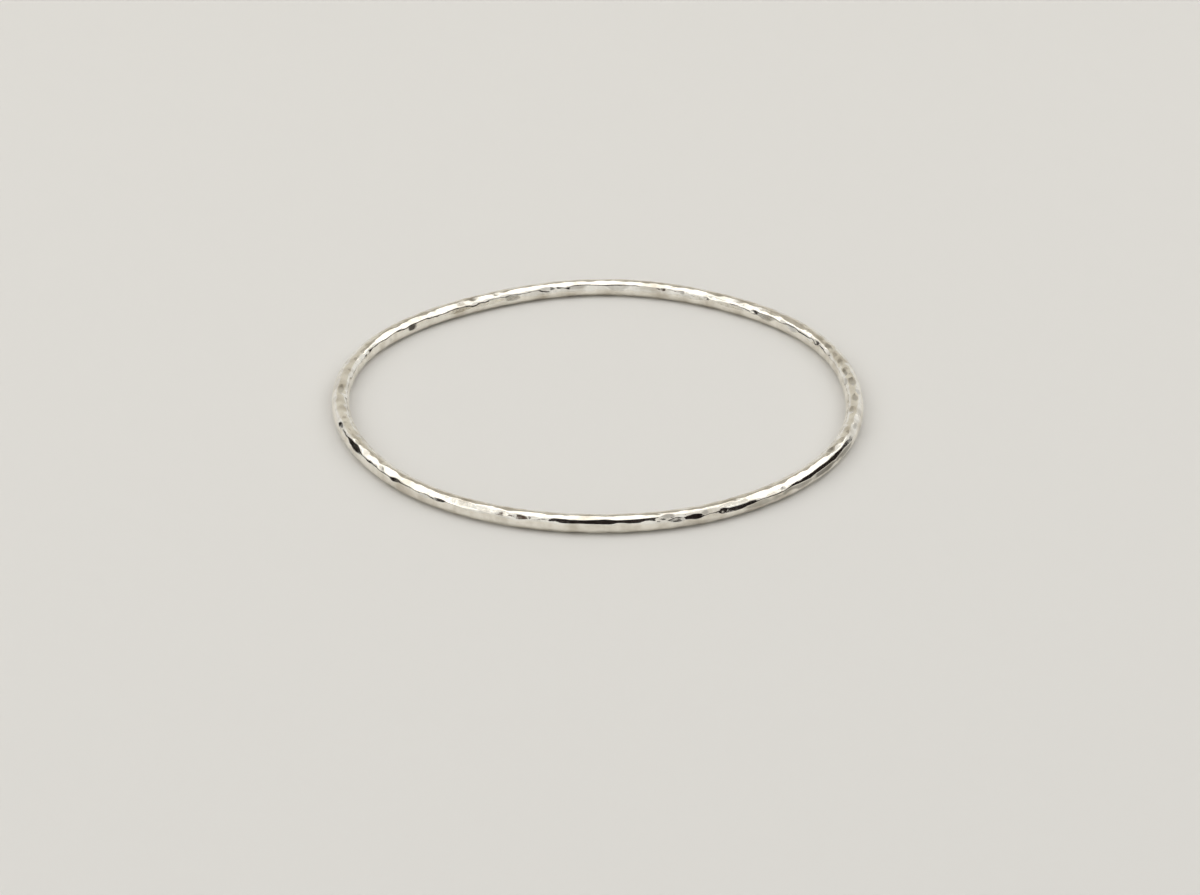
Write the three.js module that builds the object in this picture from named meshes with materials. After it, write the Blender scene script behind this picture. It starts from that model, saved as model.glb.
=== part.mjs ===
// A closed bangle of round silver wire, soldered into one ring and hammered all over.
//
// Units are millimetres and +Z is up. The ring lies flat on z = 0 with its centre on the Z axis.
// A bearing is an angle round the ring, counter-clockwise from +X as seen from above, so that
// 270 is the front. An around angle is an angle round the wire: 0 is its outer side, 90 its top,
// 180 its inner side and 270 its underside.

import * as THREE from 'three';

// Driving dimensions
const INNER_DIAMETER = 65; // clear across the inside, the wrist's own size
const WIRE_DIAMETER = 2.34; // before hammering
const WEAR_DEPTH = 0.06; // how much the high spots underneath are worn flat
const RING_RADIUS = (INNER_DIAMETER + WIRE_DIAMETER) / 2;
const WIRE_RADIUS = WIRE_DIAMETER / 2;

// How finely the surface is cut: sides round the wire, steps round the ring
const WIRE_SIDES = 18;
const RING_STEPS = 320;

// The ring is a little out of round. Each row is a wave in its radius: how many times it
// repeats in a turn, how high it is and the bearing of its first crest.
const WAVES = [
  { repeats: 2, height: 0.05, crestDeg: 45 },
  { repeats: 3, height: 0.18, crestDeg: 52 },
  { repeats: 4, height: 0.12, crestDeg: 69 },
  { repeats: 5, height: 0.14, crestDeg: 19 },
  { repeats: 6, height: 0.09, crestDeg: 34 },
  { repeats: 7, height: 0.05, crestDeg: 35 },
];

// Passes of the hammer's round end. Each goes once round the ring along one side of the wire.
// aroundDeg: the side struck; pitch: the mean step between blows; face: the radius of the
// hammer's domed face; depth: how far it sinks in; strayDeg: how far blows stray round the wire.
const PASSES = [
  { aroundDeg: 16, pitch: 2.7, face: 9, depth: 0.045, strayDeg: 13 },
  { aroundDeg: 46, pitch: 2.5, face: 8, depth: 0.045, strayDeg: 13 },
  { aroundDeg: 76, pitch: 2.3, face: 7, depth: 0.045, strayDeg: 14 },
  { aroundDeg: 106, pitch: 2.4, face: 7, depth: 0.045, strayDeg: 14 },
  { aroundDeg: 136, pitch: 2.3, face: 7, depth: 0.045, strayDeg: 13 },
  { aroundDeg: 166, pitch: 2.6, face: 9, depth: 0.045, strayDeg: 13 },
  { aroundDeg: 198, pitch: 3, face: 12, depth: 0.05, strayDeg: 14 },
  { aroundDeg: 232, pitch: 3, face: 12, depth: 0.05, strayDeg: 15 },
  { aroundDeg: 270, pitch: 3.2, face: 14, depth: 0.05, strayDeg: 16 },
  { aroundDeg: 308, pitch: 3, face: 12, depth: 0.05, strayDeg: 15 },
  { aroundDeg: 342, pitch: 3, face: 12, depth: 0.05, strayDeg: 14 },
];
const PITCH_JITTER = 0.35; // share of the pitch by which the step between blows varies
const DEPTH_JITTER = 0.45; // share of the depth by which the force varies
const HAMMER_SEED = 4711;

// Long flats left by the hammer's broad face: the middle of each, how far it sinks in and how
// long it is
const FLATS = [
  // front right, low on the outer side
  { bearingDeg: 342, aroundDeg: 37, depth: 0.05, length: 4.5 },
  { bearingDeg: 336, aroundDeg: 35, depth: 0.06, length: 6 },
  { bearingDeg: 330, aroundDeg: 33, depth: 0.07, length: 6.5 },
  { bearingDeg: 324, aroundDeg: 31, depth: 0.075, length: 6.5 },
  { bearingDeg: 318, aroundDeg: 28, depth: 0.07, length: 6 },
  { bearingDeg: 309, aroundDeg: 38, depth: 0.08, length: 5.5 },
  { bearingDeg: 299, aroundDeg: 22, depth: 0.065, length: 5 },
  // front right, above them
  { bearingDeg: 332, aroundDeg: 70, depth: 0.07, length: 4.5 },
  { bearingDeg: 325, aroundDeg: 66, depth: 0.06, length: 5 },
  { bearingDeg: 317, aroundDeg: 62, depth: 0.085, length: 6.5 },
  { bearingDeg: 306, aroundDeg: 58, depth: 0.085, length: 6.5 },
  { bearingDeg: 299, aroundDeg: 52, depth: 0.07, length: 4.5 },
  // front
  { bearingDeg: 277, aroundDeg: 2, depth: 0.08, length: 6 },
  { bearingDeg: 268, aroundDeg: 0, depth: 0.09, length: 7 },
  { bearingDeg: 258, aroundDeg: 4, depth: 0.08, length: 6 },
  { bearingDeg: 277, aroundDeg: 38, depth: 0.055, length: 6 },
  { bearingDeg: 270, aroundDeg: 38, depth: 0.055, length: 6 },
  { bearingDeg: 264, aroundDeg: 40, depth: 0.046, length: 5 },
  { bearingDeg: 276, aroundDeg: 64, depth: 0.06, length: 6 },
  { bearingDeg: 266, aroundDeg: 66, depth: 0.065, length: 7 },
  { bearingDeg: 257, aroundDeg: 62, depth: 0.06, length: 5 },
  // front left
  { bearingDeg: 248, aroundDeg: 8, depth: 0.075, length: 5 },
  { bearingDeg: 247, aroundDeg: 52, depth: 0.08, length: 5 },
  { bearingDeg: 240, aroundDeg: 51, depth: 0.08, length: 6 },
  { bearingDeg: 230, aroundDeg: 54, depth: 0.08, length: 6 },
  { bearingDeg: 221, aroundDeg: 57, depth: 0.075, length: 5 },
  { bearingDeg: 213, aroundDeg: 61, depth: 0.075, length: 5 },
  { bearingDeg: 238, aroundDeg: 6, depth: 0.08, length: 5 },
  { bearingDeg: 227, aroundDeg: 4, depth: 0.08, length: 6 },
  { bearingDeg: 217, aroundDeg: 6, depth: 0.075, length: 5 },
  // back left
  { bearingDeg: 150, aroundDeg: 122, depth: 0.08, length: 6 },
  { bearingDeg: 141, aroundDeg: 122, depth: 0.085, length: 6 },
  { bearingDeg: 131, aroundDeg: 124, depth: 0.085, length: 6 },
  { bearingDeg: 121, aroundDeg: 122, depth: 0.08, length: 6 },
  { bearingDeg: 155, aroundDeg: 165, depth: 0.105, length: 5.5 },
  { bearingDeg: 147, aroundDeg: 165, depth: 0.105, length: 5.5 },
  { bearingDeg: 138, aroundDeg: 167, depth: 0.095, length: 5.5 },
  { bearingDeg: 128, aroundDeg: 166, depth: 0.09, length: 6 },
  { bearingDeg: 118, aroundDeg: 167, depth: 0.09, length: 6 },
  // back
  { bearingDeg: 108, aroundDeg: 121, depth: 0.07, length: 7 },
  { bearingDeg: 98, aroundDeg: 122, depth: 0.07, length: 7 },
  { bearingDeg: 87, aroundDeg: 121, depth: 0.075, length: 8 },
  { bearingDeg: 76, aroundDeg: 120, depth: 0.07, length: 6 },
  { bearingDeg: 105, aroundDeg: 163, depth: 0.095, length: 7 },
  { bearingDeg: 93, aroundDeg: 164, depth: 0.1, length: 8 },
  { bearingDeg: 80, aroundDeg: 161, depth: 0.09, length: 7 },
  // back right
  { bearingDeg: 66, aroundDeg: 119, depth: 0.075, length: 5 },
  { bearingDeg: 56, aroundDeg: 118, depth: 0.075, length: 5 },
  { bearingDeg: 46, aroundDeg: 119, depth: 0.08, length: 6 },
  { bearingDeg: 36, aroundDeg: 115, depth: 0.075, length: 5 },
  { bearingDeg: 66, aroundDeg: 166, depth: 0.09, length: 6 },
  { bearingDeg: 56, aroundDeg: 166, depth: 0.085, length: 5 },
  { bearingDeg: 41, aroundDeg: 172, depth: 0.08, length: 5 },
];

// Numbers that look random and come out the same every time, between low and high
function makeDice(seed) {
  const multiplier = 16807;
  const modulus = 2147483647;
  let state = seed;
  return (low, high) => {
    state = (state * multiplier) % modulus;
    return low + ((high - low) * state) / modulus;
  };
}

// Every blow on the ring: the bearing and around angle it lands on, its face and its depth
function hammerBlows() {
  const roll = makeDice(HAMMER_SEED);
  const blows = [];
  for (const { aroundDeg, pitch, face, depth, strayDeg } of PASSES) {
    const steps = Math.round((2 * Math.PI * RING_RADIUS) / pitch);
    for (let i = 0; i < steps; i++) {
      blows.push({
        bearing: (2 * Math.PI * (i + 0.5 + roll(-PITCH_JITTER, PITCH_JITTER))) / steps,
        around: THREE.MathUtils.degToRad(aroundDeg + roll(-strayDeg, strayDeg)),
        face,
        depth: depth * (1 + roll(-DEPTH_JITTER, DEPTH_JITTER)),
      });
    }
  }
  for (const { bearingDeg, aroundDeg, depth, length } of FLATS) {
    blows.push({
      bearing: THREE.MathUtils.degToRad(bearingDeg),
      around: THREE.MathUtils.degToRad(aroundDeg),
      face: length ** 2 / (8 * depth),
      depth,
    });
  }
  return blows;
}

// The radius of the ring's centre line at a bearing
function ringRadius(bearing) {
  let radius = RING_RADIUS;
  for (const { repeats, height, crestDeg } of WAVES) {
    radius += height * Math.cos(repeats * (bearing - THREE.MathUtils.degToRad(crestDeg)));
  }
  return radius;
}

// How far the metal reaches from the wire's centre once one domed face has been sunk in it
function reachUnderBlow(blow, bearing, around) {
  const turn = Math.atan2(Math.sin(bearing - blow.bearing), Math.cos(bearing - blow.bearing));
  const along = turn * (RING_RADIUS + WIRE_RADIUS * Math.cos(blow.around));
  const faceCentre = WIRE_RADIUS - blow.depth + blow.face;
  const aside = faceCentre * Math.sin(around - blow.around);
  const ahead = faceCentre * Math.cos(around - blow.around);
  const halfChordSquared = blow.face ** 2 - along ** 2 - aside ** 2;
  if (ahead <= 0 || halfChordSquared <= 0) {
    return WIRE_RADIUS;
  }
  return Math.min(WIRE_RADIUS, ahead - Math.sqrt(halfChordSquared));
}

// The ring's surface: a torus whose every vertex is moved to the hammered wire's surface
function hammeredRing() {
  const blows = hammerBlows();
  const geometry = new THREE.TorusGeometry(RING_RADIUS, WIRE_RADIUS, WIRE_SIDES, RING_STEPS);
  const position = geometry.attributes.position;
  for (let i = 0; i < position.count; i++) {
    const bearing = Math.atan2(position.getY(i), position.getX(i));
    const out = Math.hypot(position.getX(i), position.getY(i)) - RING_RADIUS;
    const around = Math.atan2(position.getZ(i), out);
    let reach = WIRE_RADIUS;
    for (const blow of blows) {
      reach = Math.min(reach, reachUnderBlow(blow, bearing, around));
    }
    const radius = ringRadius(bearing) + reach * Math.cos(around);
    const height = Math.max(reach * Math.sin(around), WEAR_DEPTH - WIRE_RADIUS);
    position.setXYZ(i, radius * Math.cos(bearing), radius * Math.sin(bearing), height);
  }
  geometry.computeBoundingBox();
  const centre = geometry.boundingBox.getCenter(new THREE.Vector3());
  geometry.translate(-centre.x, -centre.y, WIRE_RADIUS - WEAR_DEPTH);
  geometry.computeVertexNormals();
  return geometry;
}

const silver = new THREE.MeshStandardMaterial({
  name: 'silver',
  color: 0xece9e4,
  roughness: 0.12,
  metalness: 1,
});

const bangle = new THREE.Mesh(hammeredRing(), silver);
bangle.name = 'bangle';

const model = new THREE.Group();
model.add(bangle);

export default model;
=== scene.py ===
"""A closed bangle of round silver wire, hammered all over, lying on a pale floor.

Sizes are in metres, apart from those whose names end in _mm, in the CAD model's frame: +Z is up,
the ring lies on z = 0 and its centre is on the Z axis. A bearing is an angle round the ring,
counter-clockwise from +X as seen from above, so that 270 degrees is the front. An around angle is
an angle round the wire: 0 is its outer side, 90 its top, 180 its inner side and 270 its underside.
"""

import math
from collections import namedtuple

import bmesh
import bpy
import numpy as np
from bpy.props import FloatProperty, FloatVectorProperty, IntProperty, PointerProperty
from mathutils import Matrix, Vector


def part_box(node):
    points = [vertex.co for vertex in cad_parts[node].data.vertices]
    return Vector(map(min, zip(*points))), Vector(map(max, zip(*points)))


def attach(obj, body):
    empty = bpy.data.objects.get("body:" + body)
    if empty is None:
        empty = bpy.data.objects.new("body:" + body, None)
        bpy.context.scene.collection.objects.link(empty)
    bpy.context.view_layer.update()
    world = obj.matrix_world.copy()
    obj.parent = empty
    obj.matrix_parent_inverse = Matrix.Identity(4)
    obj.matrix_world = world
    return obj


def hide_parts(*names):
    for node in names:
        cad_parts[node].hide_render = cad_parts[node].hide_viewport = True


bl_info = {
    "name": "Hammered Bangle",
    "version": (1, 0, 0),
    "blender": (4, 5, 0),
    "location": "View3D > Sidebar > Bangle",
    "description": "Makes a hammered silver wire bangle, its floor, its lights and its camera",
    "category": "Object",
}

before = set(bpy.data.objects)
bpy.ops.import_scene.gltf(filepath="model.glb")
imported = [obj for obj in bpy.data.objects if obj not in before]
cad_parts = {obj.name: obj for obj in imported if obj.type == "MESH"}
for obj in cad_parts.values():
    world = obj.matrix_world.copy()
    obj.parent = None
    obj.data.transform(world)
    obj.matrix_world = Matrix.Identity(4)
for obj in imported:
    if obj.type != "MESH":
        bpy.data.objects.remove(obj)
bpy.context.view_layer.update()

NODE = "bangle"
# The mesh attribute below holds painted reflection: how far each point is darkened to stand in for
# dark things mirrored in the dimples
PAINTED_REFLECTION = "tarnish"  # the mesh attribute that says how dark the metal is at each point
MM = 0.001
FULL_TURN = 2 * math.pi
STEPS_A_SEGMENT = 8  # the ring is spun in long segments, and each is then cut into this many

# The camera's frame, in pixels, and where the middle of the ring falls in it
FRAME_WIDTH, FRAME_HEIGHT = 1200, 895
RING_MIDDLE_X, RING_MIDDLE_Y = 597.2, 396.2
SENSOR_WIDTH = 36.0  # millimetres

# The silver's cloudy patches and its fine grain: how many features there are to a metre, and the
# stretch of the noise over which each goes from none to full
NOISE_DETAIL = 3.0
CLOUD_SCALE = 420.0
CLOUD_START, CLOUD_FULL = 0.42, 0.72
GRAIN_SCALE = 1500.0
GRAIN_START, GRAIN_FULL = 0.3, 0.75
GRAIN_HEIGHT = 0.02 * MM
GRAIN_STRENGTH = 0.5

FLOOR_ROUGHNESS = 0.8
CARD_ROUGHNESS = 1.0

# The room glows evenly up to the first height and brightest from the second, where 1 is overhead
ROOM_GLOW_START, ROOM_GLOW_FULL = 0.1, 0.95

# The ring is a little out of round: each wave's repeats in a turn, its height and its first crest
Wave = namedtuple("Wave", "repeats height_mm crest_deg")
WAVES = [
    Wave(2, 0.05, 45),
    Wave(3, 0.18, 52),
    Wave(4, 0.12, 69),
    Wave(5, 0.14, 19),
    Wave(6, 0.09, 34),
    Wave(7, 0.05, 35),
]

# Passes of the hammer's round end. Each goes once round the ring along one side of the wire, and
# has the mean step between blows, the radius of the hammer's domed face, how far it sinks in, and
# how far the blows stray round the wire
Pass = namedtuple("Pass", "around_deg pitch_mm face_mm depth_mm stray_deg")
PASSES = [
    Pass(16, 2.7, 9, 0.045, 13),
    Pass(46, 2.5, 8, 0.045, 13),
    Pass(76, 2.3, 7, 0.045, 14),
    Pass(106, 2.4, 7, 0.045, 14),
    Pass(136, 2.3, 7, 0.045, 13),
    Pass(166, 2.6, 9, 0.045, 13),
    Pass(198, 3.0, 12, 0.050, 14),
    Pass(232, 3.0, 12, 0.050, 15),
    Pass(270, 3.2, 14, 0.050, 16),
    Pass(308, 3.0, 12, 0.050, 15),
    Pass(342, 3.0, 12, 0.050, 14),
]
PITCH_JITTER = 0.35  # share of the pitch by which the step between blows varies
DEPTH_JITTER = 0.45  # share of the depth by which the force varies

# Long flats left by the hammer's broad face: the middle of each, how far it sinks in and how long
# it is
Flat = namedtuple("Flat", "bearing_deg around_deg depth_mm length_mm")
FLATS = [
    # front right, low on the outer side
    Flat(342, 37, 0.050, 4.5),
    Flat(336, 35, 0.060, 6.0),
    Flat(330, 33, 0.070, 6.5),
    Flat(324, 31, 0.075, 6.5),
    Flat(318, 28, 0.070, 6.0),
    Flat(309, 38, 0.080, 5.5),
    Flat(299, 22, 0.065, 5.0),
    # front right, above them
    Flat(332, 70, 0.070, 4.5),
    Flat(325, 66, 0.060, 5.0),
    Flat(317, 62, 0.085, 6.5),
    Flat(306, 58, 0.085, 6.5),
    Flat(299, 52, 0.070, 4.5),
    # front
    Flat(277, 2, 0.080, 6.0),
    Flat(268, 0, 0.090, 7.0),
    Flat(258, 4, 0.080, 6.0),
    Flat(277, 38, 0.055, 6.0),
    Flat(270, 38, 0.055, 6.0),
    Flat(264, 40, 0.046, 5.0),
    Flat(276, 64, 0.060, 6.0),
    Flat(266, 66, 0.065, 7.0),
    Flat(257, 62, 0.060, 5.0),
    # front left
    Flat(248, 8, 0.075, 5.0),
    Flat(247, 52, 0.080, 5.0),
    Flat(240, 51, 0.080, 6.0),
    Flat(230, 54, 0.080, 6.0),
    Flat(221, 57, 0.075, 5.0),
    Flat(213, 61, 0.075, 5.0),
    Flat(238, 6, 0.080, 5.0),
    Flat(227, 4, 0.080, 6.0),
    Flat(217, 6, 0.075, 5.0),
    # back left
    Flat(150, 122, 0.080, 6.0),
    Flat(141, 122, 0.085, 6.0),
    Flat(131, 124, 0.085, 6.0),
    Flat(121, 122, 0.080, 6.0),
    Flat(155, 165, 0.105, 5.5),
    Flat(147, 165, 0.105, 5.5),
    Flat(138, 167, 0.095, 5.5),
    Flat(128, 166, 0.090, 6.0),
    Flat(118, 167, 0.090, 6.0),
    # back
    Flat(108, 121, 0.070, 7.0),
    Flat(98, 122, 0.070, 7.0),
    Flat(87, 121, 0.075, 8.0),
    Flat(76, 120, 0.070, 6.0),
    Flat(105, 163, 0.095, 7.0),
    Flat(93, 164, 0.100, 8.0),
    Flat(80, 161, 0.090, 7.0),
    # back right
    Flat(66, 119, 0.075, 5.0),
    Flat(56, 118, 0.075, 5.0),
    Flat(46, 119, 0.080, 6.0),
    Flat(36, 115, 0.075, 5.0),
    Flat(66, 166, 0.090, 6.0),
    Flat(56, 166, 0.085, 5.0),
    Flat(41, 172, 0.080, 5.0),
]

# Single dimples that stand out: the middle of each, how far it sinks in, how long it is and how
# dark the reflection painted into it is, a darkening that stands in for dark things mirrored there
Dimple = namedtuple("Dimple", "bearing_deg around_deg depth_mm length_mm tarnish")
DIMPLES = [
    # right end
    Dimple(350, 104, 0.075, 2.2, 0.30),
    Dimple(343, 49, 0.085, 2.0, 0.30),
    Dimple(356, 89, 0.090, 2.7, 0.38),
    Dimple(359, 67, 0.075, 2.0, 0.30),
    Dimple(4, 91, 0.120, 3.0, 0.38),
    Dimple(5, 135, 0.070, 2.0, 0.30),
    Dimple(9, 114, 0.085, 2.3, 0.50),
    Dimple(14, 110, 0.070, 1.9, 0.25),
    Dimple(22, 108, 0.080, 2.4, 0.40),
    # back right
    Dimple(37, 158, 0.080, 3.0, 0.30),
    Dimple(45, 164, 0.100, 3.8, 0.40),
    Dimple(49, 155, 0.100, 1.5, 0.30),
    Dimple(63, 154, 0.075, 1.2, 0.30),
    Dimple(69, 152, 0.075, 1.1, 0.40),
    Dimple(74, 145, 0.070, 1.4, 0.35),
    # back and back left
    Dimple(85, 156, 0.100, 5.0, 0.22),
    Dimple(95, 158, 0.115, 4.2, 0.30),
    Dimple(103, 150, 0.105, 3.0, 0.25),
    Dimple(112, 167, 0.100, 2.9, 0.45),
    Dimple(116, 117, 0.090, 1.3, 0.30),
    Dimple(122, 115, 0.105, 2.2, 0.40),
    Dimple(126, 124, 0.100, 1.8, 0.45),
    Dimple(141, 165, 0.100, 2.8, 0.92),
    Dimple(149, 167, 0.095, 2.0, 0.50),
    # left end
    Dimple(180, 96, 0.100, 3.0, 0.30),
    Dimple(196, 42, 0.070, 2.0, 0.85),
    Dimple(206, 38, 0.105, 4.8, 0.30),
    # front left
    Dimple(211, 62, 0.090, 2.9, 0.30),
    Dimple(218, 49, 0.080, 1.6, 0.40),
    Dimple(223, 30, 0.068, 2.0, 0.20),
    Dimple(231, 53, 0.095, 2.1, 0.25),
    Dimple(236, 26, 0.070, 2.2, 0.20),
    Dimple(250, 41, 0.075, 1.8, 0.20),
    Dimple(254, 39, 0.075, 2.1, 0.20),
    # front right
    Dimple(284, 53, 0.066, 2.0, 0.50),
    Dimple(286, 22, 0.068, 2.2, 0.20),
    Dimple(290, 26, 0.085, 2.0, 0.20),
    Dimple(292, 40, 0.068, 1.2, 0.40),
    Dimple(296, 27, 0.095, 1.3, 0.20),
    # The four long marks low on the outer side paint a darker strip: painted shade, for the shaded
    # floor mirrored there
    Dimple(306, 3, 0.075, 7.0, 0.40),
    Dimple(315, 6, 0.080, 7.5, 0.55),
    Dimple(324, 9, 0.085, 7.5, 0.72),
    Dimple(333, 12, 0.085, 6.5, 0.65),
    Dimple(311, 37, 0.100, 1.1, 0.40),
    Dimple(330, 85, 0.085, 2.2, 0.50),
]

# One blow: where it lands, in radians, the radius of the hammer's domed face, how far it sinks in
# and how dark the reflection painted into it is
Blow = namedtuple("Blow", "bearing around face depth tarnish")

# Soft boxes round the ring: where each stands, how far off, its size and its share of the power
Softbox = namedtuple("Softbox", "name azimuth_deg elevation_deg distance width height power_share")
SOFTBOXES = [
    Softbox("overhead_light", 180, 84, 0.9, 1.0, 0.48, 0.8),
    Softbox("left_light", 246, 45, 1.0, 1.1, 0.46, 0.9),
    Softbox("left_front_light", 296, 34, 1.0, 0.36, 0.46, 0.3),
    Softbox("right_light", 112, 44, 1.0, 1.0, 0.46, 0.9),
]

# Cards for the silver to mirror: where each stands, how far off, its size and its colour
Card = namedtuple("Card", "name azimuth_deg elevation_deg distance width height colour")
BLACK = (0.012, 0.006, 0.006, 1.0)
BROWN = (0.11, 0.065, 0.05, 1.0)
GREIGE = (0.66, 0.63, 0.58, 1.0)
CREAM = (0.93, 0.91, 0.86, 1.0)
CARDS = [
    Card("front_card", 3, 50, 0.8, 0.50, 0.50, BLACK),
    Card("front_left_card", 321, 42, 0.8, 0.20, 0.16, BROWN),
    Card("right_card", 88, 11, 0.8, 1.16, 0.29, BLACK),
    Card("left_card", 265, 14, 0.8, 1.10, 0.15, BLACK),
    Card("front_right_card", 42, 20, 0.8, 0.40, 0.22, BLACK),
    Card("back_card", 186, 30, 0.9, 1.00, 0.44, CREAM),
    Card("back_high_card", 180, 50, 0.8, 0.76, 0.44, GREIGE),
]


class BangleSizes(bpy.types.PropertyGroup):
    """Sizes of the ring, and how finely it is cut."""

    inner_diameter: FloatProperty(
        name="Inner diameter",
        description="Clear width across the inside of the ring",
        default=0.065,
        unit="LENGTH",
    )
    wire_diameter: FloatProperty(
        name="Wire diameter",
        description="Thickness of the round wire before it is hammered",
        default=0.00234,
        unit="LENGTH",
    )
    wear_depth: FloatProperty(
        name="Wear depth",
        description="How much the high spots underneath are worn flat",
        default=0.00006,
        unit="LENGTH",
    )
    ridge_rounding: FloatProperty(
        name="Ridge rounding",
        description="How far the ridges between hammer marks are rounded over by polishing",
        default=0.000008,
        unit="LENGTH",
    )
    # Depth over which a dimple's painted reflection fades in
    painted_reflection_fade: FloatProperty(
        name="Tarnish fade",
        description="Depth within which the tarnish in a dimple reaches its full darkness",
        default=0.000035,
        unit="LENGTH",
    )
    wire_sides: IntProperty(
        name="Wire sides",
        description="Faces round the wire",
        default=64,
    )
    ring_steps: IntProperty(
        name="Ring steps",
        description="Faces round the ring",
        default=1400,
    )
    hammer_seed: IntProperty(
        name="Hammer seed",
        description="Start of the scatter of the hammer blows",
        default=4711,
    )


class SilverFinish(bpy.types.PropertyGroup):
    """Colour and polish of the silver."""

    bright_colour: FloatVectorProperty(
        name="Bright silver",
        description="Colour of the polished metal",
        subtype="COLOR",
        size=4,
        default=(0.95, 0.915, 0.835, 1.0),
    )
    dull_colour: FloatVectorProperty(
        name="Dulled silver",
        description="Colour of the metal in the bottoms of the hammer marks",
        subtype="COLOR",
        size=4,
        default=(0.66, 0.61, 0.52, 1.0),
    )
    # The darkest painted reflection: a colour that stands in for dark things mirrored in the dimples
    painted_reflection_colour: FloatVectorProperty(
        name="Tarnish",
        description="Colour of the darkest tarnish in the dimples",
        subtype="COLOR",
        size=4,
        default=(0.05, 0.042, 0.035, 1.0),
    )
    polish: FloatProperty(
        name="Polish",
        description="Roughness of the best polished metal",
        default=0.06,
        subtype="FACTOR",
    )
    haze: FloatProperty(
        name="Haze",
        description="Roughness of the dullest metal",
        default=0.17,
        subtype="FACTOR",
    )


class StageLook(bpy.types.PropertyGroup):
    """The floor, the lights, the room and the camera."""

    floor_colour: FloatVectorProperty(
        name="Floor",
        description="Colour of the floor",
        subtype="COLOR",
        size=4,
        default=(0.81, 0.797, 0.772, 1.0),
    )
    floor_size: FloatProperty(
        name="Floor size",
        description="Length of each side of the floor",
        default=4.0,
        unit="LENGTH",
    )
    light_power: FloatProperty(
        name="Light power",
        description="Power of a soft box whose share of it is 1",
        default=1.1,
        unit="POWER",
    )
    light_colour: FloatVectorProperty(
        name="Light colour",
        description="Colour of the soft boxes",
        subtype="COLOR",
        size=3,
        default=(1.0, 0.972, 0.905),
    )
    room_colour: FloatVectorProperty(
        name="Room",
        description="Colour of the pale room that surrounds the floor",
        subtype="COLOR",
        size=4,
        default=(0.80, 0.80, 0.79, 1.0),
    )
    room_strength: FloatProperty(
        name="Room strength",
        description="Brightness of the pale room near the floor",
        default=0.90,
    )
    ceiling_strength: FloatProperty(
        name="Ceiling strength",
        description="Brightness of the pale room straight above",
        default=1.14,
    )
    camera_elevation: FloatProperty(
        name="Camera elevation",
        description="How steeply the camera looks down",
        default=math.radians(28.11),
        subtype="ANGLE",
    )
    camera_distance: FloatProperty(
        name="Camera distance",
        description="Distance from the camera to the middle of the ring, along its line of sight",
        default=0.3931,
        unit="LENGTH",
    )
    lens: FloatProperty(
        name="Lens",
        description="Focal length in millimetres on a 36 mm wide sensor",
        default=90.0,
    )


def make_dice(seed):
    """Returns roll(low, high), whose numbers look random and are the same every time."""
    multiplier = 16807
    modulus = 2147483647
    state = seed

    def roll(low, high):
        nonlocal state
        state = state * multiplier % modulus
        return low + (high - low) * state / modulus

    return roll


def charted_blow(mark, tarnish=0.0):
    """The blow that leaves a mark of the charted depth and length.

    The face is the sphere in which a chord of that length lies that deep.
    """
    length, depth = mark.length_mm * MM, mark.depth_mm * MM
    return Blow(
        bearing=math.radians(mark.bearing_deg),
        around=math.radians(mark.around_deg),
        face=length**2 / (8 * depth),
        depth=depth,
        tarnish=tarnish,
    )


def hammer_blows(sizes):
    """Every blow that lands on the ring: pass by pass, then the flats, then the single dimples."""
    ring_radius = (sizes.inner_diameter + sizes.wire_diameter) / 2
    roll = make_dice(sizes.hammer_seed)
    blows = []
    for row in PASSES:
        steps = round(FULL_TURN * ring_radius / (row.pitch_mm * MM))
        for step in range(steps):
            blows.append(
                Blow(
                    bearing=FULL_TURN * (step + 0.5 + roll(-PITCH_JITTER, PITCH_JITTER)) / steps,
                    around=math.radians(row.around_deg + roll(-row.stray_deg, row.stray_deg)),
                    face=row.face_mm * MM,
                    depth=row.depth_mm * MM * (1 + roll(-DEPTH_JITTER, DEPTH_JITTER)),
                    tarnish=0.0,
                )
            )
    blows += [charted_blow(flat) for flat in FLATS]
    blows += [charted_blow(dimple, dimple.tarnish) for dimple in DIMPLES]
    return blows


def reach_under_blow(blow, bearing, around, ring_radius, wire_radius):
    """How far the metal reaches from the wire's centre once one domed face has been sunk in it."""
    turn = bearing - blow.bearing
    turn = np.arctan2(np.sin(turn), np.cos(turn))
    along = turn * (ring_radius + wire_radius * math.cos(blow.around))
    face_centre = wire_radius - blow.depth + blow.face
    aside = face_centre * np.sin(around - blow.around)
    ahead = face_centre * np.cos(around - blow.around)
    half_chord_squared = blow.face**2 - along**2 - aside**2
    struck = (ahead > 0) & (half_chord_squared > 0)
    reach = ahead - np.sqrt(np.where(struck, half_chord_squared, 0))
    return np.where(struck, reach, wire_radius + blow.face)


def soft_minimum(first, second, rounding):
    """The smaller of the two, with the corner where they cross rounded over."""
    overlap = np.maximum(rounding - np.abs(first - second), 0) / rounding
    return np.minimum(first, second) - overlap**2 * rounding / 4


def centre_line(bearing, ring_radius):
    """The radius of the ring's centre line at a bearing."""
    radius = np.full_like(bearing, ring_radius)
    for wave in WAVES:
        crest = math.radians(wave.crest_deg)
        radius += wave.height_mm * MM * np.cos(wave.repeats * (bearing - crest))
    return radius


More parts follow.
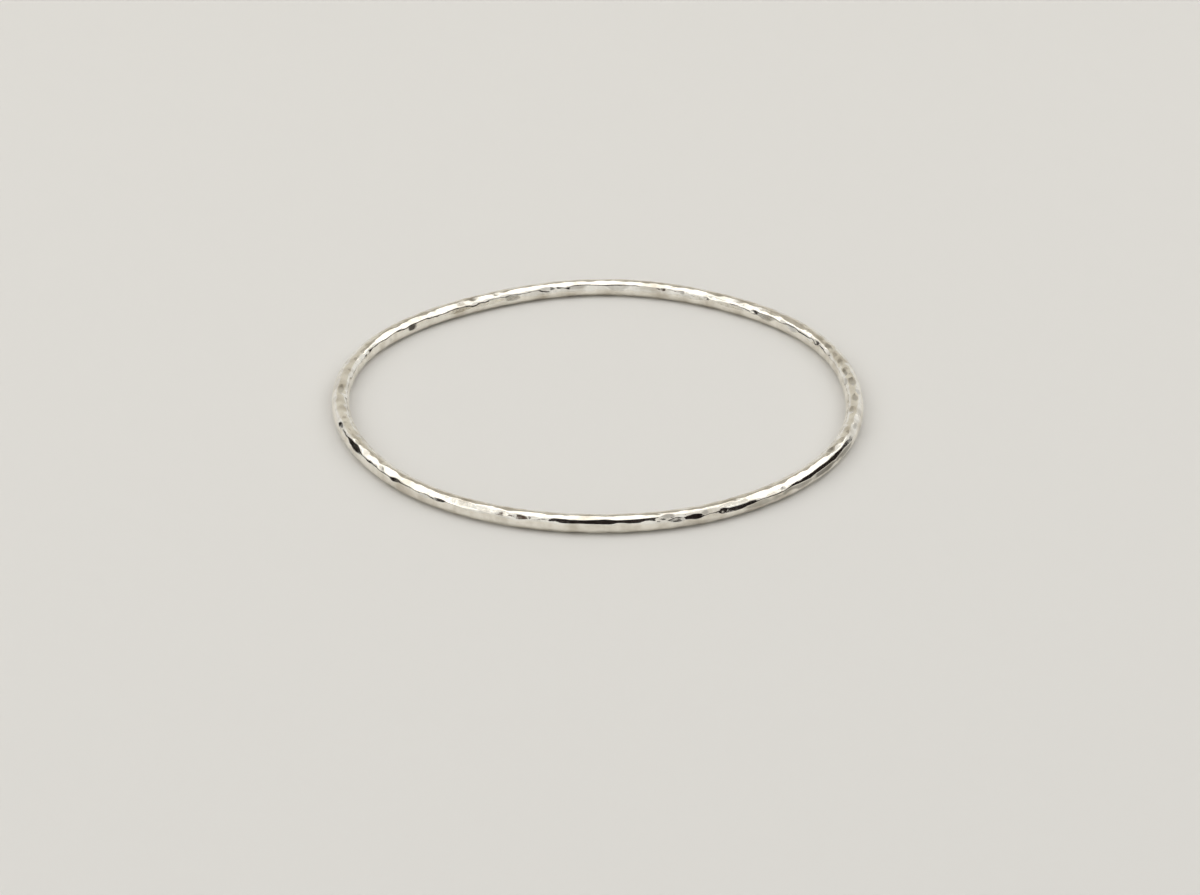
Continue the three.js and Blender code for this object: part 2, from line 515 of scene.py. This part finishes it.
def round_ring(sizes):
    """A smooth ring of round wire about the Z axis, spun from one circle."""
    ring_radius = (sizes.inner_diameter + sizes.wire_diameter) / 2
    ring = bmesh.new()
    stand_up = Matrix.Translation((ring_radius, 0, 0)) @ Matrix.Rotation(math.pi / 2, 4, "X")
    bmesh.ops.create_circle(
        ring, segments=sizes.wire_sides, radius=sizes.wire_diameter / 2, matrix=stand_up
    )
    side = max(edge.calc_length() for edge in ring.edges)
    bmesh.ops.spin(
        ring,
        geom=ring.verts[:] + ring.edges[:],
        cent=(0, 0, 0),
        axis=(0, 0, 1),
        dvec=(0, 0, 0),
        angle=FULL_TURN,
        steps=sizes.ring_steps // STEPS_A_SEGMENT,
        use_merge=True,
    )
    # the edges along the ring are still many times as long as those round the wire
    lengthwise = [edge for edge in ring.edges if edge.calc_length() > 2 * side]
    bmesh.ops.subdivide_edges(
        ring, edges=lengthwise, cuts=STEPS_A_SEGMENT - 1, use_grid_fill=True
    )
    bmesh.ops.recalc_face_normals(ring, faces=ring.faces[:])
    for face in ring.faces:
        face.smooth = True
    mesh = bpy.data.meshes.new("hammered_ring")
    ring.to_mesh(mesh)
    ring.free()
    return mesh


def hammer(mesh, sizes):
    """Moves every vertex of the smooth ring to the hammered surface, and notes where dark reflections
    are painted.
    """
    wire_radius = sizes.wire_diameter / 2
    ring_radius = sizes.inner_diameter / 2 + wire_radius
    places = np.empty(len(mesh.vertices) * 3)
    mesh.vertices.foreach_get("co", places)
    x, y, z = places.reshape(-1, 3).T
    bearing = np.arctan2(y, x)
    around = np.arctan2(z, np.hypot(x, y) - ring_radius)
    reach = np.full_like(bearing, wire_radius)
    tarnish = np.zeros_like(bearing)
    for blow in hammer_blows(sizes):
        struck = reach_under_blow(blow, bearing, around, ring_radius, wire_radius)
        # Painted reflection: the points a dimple sinks take on its painted darkness, which stands in
        # for dark things mirrored there
        covered = np.clip((reach - struck) / sizes.painted_reflection_fade, 0, 1)
        tarnish = tarnish * (1 - covered) + blow.tarnish * covered
        reach = soft_minimum(reach, struck, sizes.ridge_rounding)
    radius = centre_line(bearing, ring_radius) + reach * np.cos(around)
    height = np.maximum(reach * np.sin(around), sizes.wear_depth - wire_radius)
    surface = np.stack([radius * np.cos(bearing), radius * np.sin(bearing), height], axis=1)
    low, high = surface.min(axis=0), surface.max(axis=0)
    cad_low, cad_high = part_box(NODE)
    cad_middle = (cad_low + cad_high) / 2
    surface[:, 0] += cad_middle.x - (low[0] + high[0]) / 2
    surface[:, 1] += cad_middle.y - (low[1] + high[1]) / 2
    surface[:, 2] += cad_low.z - low[2]
    mesh.vertices.foreach_set("co", surface.ravel())
    shade = mesh.attributes.new(PAINTED_REFLECTION, "FLOAT", "POINT")
    shade.data.foreach_set("value", tarnish)
    mesh.update()


class NodeGarden:
    """Adds nodes to a material and joins them."""

    def __init__(self, material):
        material.use_nodes = True
        self.tree = material.node_tree
        self.shader = self.tree.nodes["Principled BSDF"]

    def add(self, kind, **settings):
        node = self.tree.nodes.new(kind)
        for name, value in settings.items():
            if name in node.inputs:
                node.inputs[name].default_value = value
            else:
                setattr(node, name, value)
        return node

    def join(self, source, target):
        self.tree.links.new(source, target)


def silver_material(finish):
    """Polished silver with cloudy duller patches, and dark reflections painted into some dimples."""
    material = bpy.data.materials.new("polished_silver")
    garden = NodeGarden(material)
    shader = garden.shader
    shader.inputs["Metallic"].default_value = 1.0
    place = garden.add("ShaderNodeTexCoord")

    clouds = garden.add("ShaderNodeTexNoise", Scale=CLOUD_SCALE, Detail=NOISE_DETAIL)
    garden.join(place.outputs["Object"], clouds.inputs["Vector"])
    patches = garden.add("ShaderNodeMapRange")
    patches.inputs["From Min"].default_value = CLOUD_START
    patches.inputs["From Max"].default_value = CLOUD_FULL
    garden.join(clouds.outputs["Fac"], patches.inputs["Value"])
    tone = garden.add("ShaderNodeMix", data_type="RGBA")
    tone.inputs["A"].default_value = finish.bright_colour
    tone.inputs["B"].default_value = finish.dull_colour
    garden.join(patches.outputs["Result"], tone.inputs["Factor"])

    # Painted reflection: the attribute darkens the colour towards the darkest painted reflection in
    # the dimples
    tarnish = garden.add("ShaderNodeAttribute", attribute_name=PAINTED_REFLECTION)
    reflection_painted = garden.add("ShaderNodeMix", data_type="RGBA")
    reflection_painted.inputs["B"].default_value = finish.painted_reflection_colour
    garden.join(tone.outputs["Result"], reflection_painted.inputs["A"])
    garden.join(tarnish.outputs["Fac"], reflection_painted.inputs["Factor"])
    garden.join(reflection_painted.outputs["Result"], shader.inputs["Base Color"])

    grain = garden.add("ShaderNodeTexNoise", Scale=GRAIN_SCALE, Detail=NOISE_DETAIL)
    garden.join(place.outputs["Object"], grain.inputs["Vector"])
    haze = garden.add("ShaderNodeMapRange")
    haze.inputs["From Min"].default_value = GRAIN_START
    haze.inputs["From Max"].default_value = GRAIN_FULL
    haze.inputs["To Min"].default_value = finish.polish
    haze.inputs["To Max"].default_value = finish.haze
    garden.join(grain.outputs["Fac"], haze.inputs["Value"])
    garden.join(haze.outputs["Result"], shader.inputs["Roughness"])

    bump = garden.add("ShaderNodeBump", Strength=GRAIN_STRENGTH, Distance=GRAIN_HEIGHT)
    garden.join(grain.outputs["Fac"], bump.inputs["Height"])
    garden.join(bump.outputs["Normal"], shader.inputs["Normal"])
    return material


def plain_material(name, colour, roughness):
    """One flat finish, for the floor and the cards."""
    material = bpy.data.materials.new(name)
    shader = NodeGarden(material).shader
    shader.inputs["Base Color"].default_value = colour
    shader.inputs["Roughness"].default_value = roughness
    return material


def place_on_dome(azimuth_deg, elevation_deg, distance):
    """A point round the ring. Azimuth 0 is the front and 90 the right."""
    azimuth = math.radians(azimuth_deg)
    elevation = math.radians(elevation_deg)
    return Vector(
        (
            distance * math.sin(azimuth) * math.cos(elevation),
            -distance * math.cos(azimuth) * math.cos(elevation),
            distance * math.sin(elevation),
        )
    )


def facing_ring(place):
    """The turn that points local -Z from a place at the middle of the ring."""
    return (-place).to_track_quat("-Z", "Y")


def flat_piece(name, width, height, matrix, material):
    """A flat card or floor with its place in its mesh."""
    card = bmesh.new()
    bmesh.ops.create_grid(card, x_segments=1, y_segments=1, size=0.5)  # half its side of 1
    bmesh.ops.scale(card, vec=(width, height, 1), verts=card.verts)
    bmesh.ops.transform(card, matrix=matrix, verts=card.verts)
    mesh = bpy.data.meshes.new(name)
    card.to_mesh(mesh)
    card.free()
    mesh.materials.append(material)
    piece = bpy.data.objects.new(name, mesh)
    bpy.context.scene.collection.objects.link(piece)
    return piece


def make_floor(look):
    """The plain pale floor that the ring lies on."""
    material = plain_material("pale_floor", look.floor_colour, FLOOR_ROUGHNESS)
    flat_piece("floor", look.floor_size, look.floor_size, Matrix.Identity(4), material)


def make_cards():
    """Dark and pale cards for the silver to mirror. The camera does not see them."""
    for card in CARDS:
        material = plain_material(f"{card.name}_paint", card.colour, CARD_ROUGHNESS)
        place = place_on_dome(card.azimuth_deg, card.elevation_deg, card.distance)
        matrix = Matrix.Translation(place) @ facing_ring(place).to_matrix().to_4x4()
        piece = flat_piece(card.name, card.width, card.height, matrix, material)
        piece.visible_camera = False


def make_softboxes(look):
    """Large soft lights round the ring."""
    for box in SOFTBOXES:
        light = bpy.data.lights.new(box.name, "AREA")
        light.shape = "RECTANGLE"
        light.size = box.width
        light.size_y = box.height
        light.energy = look.light_power * box.power_share
        light.color = look.light_colour
        lamp = bpy.data.objects.new(box.name, light)
        place = place_on_dome(box.azimuth_deg, box.elevation_deg, box.distance)
        lamp.location = place
        lamp.rotation_mode = "QUATERNION"
        lamp.rotation_quaternion = facing_ring(place)
        bpy.context.scene.collection.objects.link(lamp)


def make_room(look):
    """The pale room round the floor, as a glow that is brightest overhead."""
    world = bpy.data.worlds.new("pale_room")
    world.use_nodes = True
    nodes, links = world.node_tree.nodes, world.node_tree.links
    glow = nodes["Background"]
    glow.inputs["Color"].default_value = look.room_colour
    direction = nodes.new("ShaderNodeTexCoord")
    height = nodes.new("ShaderNodeSeparateXYZ")
    links.new(direction.outputs["Generated"], height.inputs["Vector"])
    strength = nodes.new("ShaderNodeMapRange")
    strength.inputs["From Min"].default_value = ROOM_GLOW_START
    strength.inputs["From Max"].default_value = ROOM_GLOW_FULL
    strength.inputs["To Min"].default_value = look.room_strength
    strength.inputs["To Max"].default_value = look.ceiling_strength
    links.new(height.outputs["Z"], strength.inputs["Value"])
    links.new(strength.outputs["Result"], glow.inputs["Strength"])
    bpy.context.scene.world = world


def make_camera(look):
    """The camera in front of the ring, looking down on it."""
    data = bpy.data.cameras.new("camera")
    data.sensor_width = SENSOR_WIDTH
    data.lens = look.lens
    camera = bpy.data.objects.new("camera", data)
    elevation = look.camera_elevation
    pixels_per_length = look.lens / data.sensor_width * FRAME_WIDTH / look.camera_distance
    right = Vector((1, 0, 0))
    up = Vector((0, math.sin(elevation), math.cos(elevation)))
    back = Vector((0, -math.cos(elevation), math.sin(elevation)))
    aside = (FRAME_WIDTH / 2 - RING_MIDDLE_X) / pixels_per_length
    above = (RING_MIDDLE_Y - FRAME_HEIGHT / 2) / pixels_per_length
    low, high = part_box(NODE)
    middle = (low + high) / 2
    camera.location = middle + back * look.camera_distance + right * aside + up * above
    camera.rotation_euler = (math.pi / 2 - elevation, 0, 0)
    bpy.context.scene.collection.objects.link(camera)
    bpy.context.scene.camera = camera


class OBJECT_OT_hammered_ring(bpy.types.Operator):
    """Makes the ring of hammered silver wire"""

    bl_idname = "object.hammered_ring"
    bl_label = "Hammered Ring"

    def execute(self, context):
        sizes = context.scene.bangle_sizes
        mesh = round_ring(sizes)
        hammer(mesh, sizes)
        mesh.materials.append(silver_material(context.scene.silver_finish))
        ring = bpy.data.objects.new("hammered_ring", mesh)
        context.scene.collection.objects.link(ring)
        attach(ring, "root")
        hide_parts(NODE)
        return {"FINISHED"}


class OBJECT_OT_bangle_stage(bpy.types.Operator):
    """Makes the floor, the cards, the lights, the room and the camera"""

    bl_idname = "object.bangle_stage"
    bl_label = "Bangle Stage"

    def execute(self, context):
        look = context.scene.stage_look
        make_floor(look)
        make_cards()
        make_softboxes(look)
        make_room(look)
        make_camera(look)
        context.scene.view_settings.view_transform = "Standard"
        return {"FINISHED"}


class VIEW3D_PT_bangle(bpy.types.Panel):
    """Lists the sizes and the looks, and makes each piece"""

    bl_idname = "VIEW3D_PT_bangle"
    bl_label = "Bangle"
    bl_space_type = "VIEW_3D"
    bl_region_type = "UI"
    bl_category = "Bangle"

    def draw(self, context):
        layout = self.layout
        scene = context.scene
        for group in (scene.bangle_sizes, scene.silver_finish, scene.stage_look):
            column = layout.column(align=True)
            for name in group.__annotations__:
                column.prop(group, name)
        layout.operator(OBJECT_OT_hammered_ring.bl_idname)
        layout.operator(OBJECT_OT_bangle_stage.bl_idname)


CLASSES = (
    BangleSizes,
    SilverFinish,
    StageLook,
    OBJECT_OT_hammered_ring,
    OBJECT_OT_bangle_stage,
    VIEW3D_PT_bangle,
)


def register():
    for cls in CLASSES:
        bpy.utils.register_class(cls)
    bpy.types.Scene.bangle_sizes = PointerProperty(type=BangleSizes)
    bpy.types.Scene.silver_finish = PointerProperty(type=SilverFinish)
    bpy.types.Scene.stage_look = PointerProperty(type=StageLook)


def unregister():
    del bpy.types.Scene.stage_look
    del bpy.types.Scene.silver_finish
    del bpy.types.Scene.bangle_sizes
    for cls in reversed(CLASSES):
        bpy.utils.unregister_class(cls)


def main():
    register()
    bpy.ops.object.hammered_ring()
    bpy.ops.object.bangle_stage()


if __name__ == "__main__":
    main()
